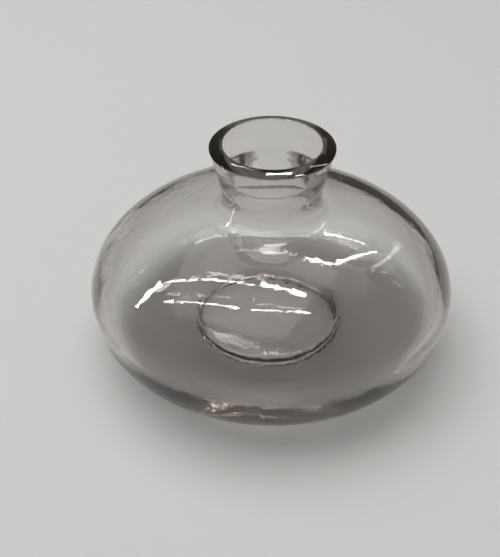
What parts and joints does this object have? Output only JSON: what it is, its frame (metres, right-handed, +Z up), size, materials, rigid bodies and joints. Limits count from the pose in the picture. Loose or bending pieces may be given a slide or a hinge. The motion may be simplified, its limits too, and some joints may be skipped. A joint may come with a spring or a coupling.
{
  "type": "bud vase",
  "caption": "Squat round bud vase in clear smoke-grey glass, with a short flared neck, a thick sloping rim and a recessed foot.",
  "frame": {"origin": "centre of the foot ring, on the surface that the vase stands on", "axes": "+Z up along the vase's axis, through the mouth; the vase is round, so +X and +Y are any two level directions at right angles"},
  "size_m": [0.12, 0.12, 0.0753],
  "materials": {
    "smoke_glass": "clear smoke-grey soda glass, smooth and fire-polished, dark where it is seen edge on"
  },
  "bodies": {
    "root": {"glass_vase": "smoke_glass"}
  },
  "joints": []
}
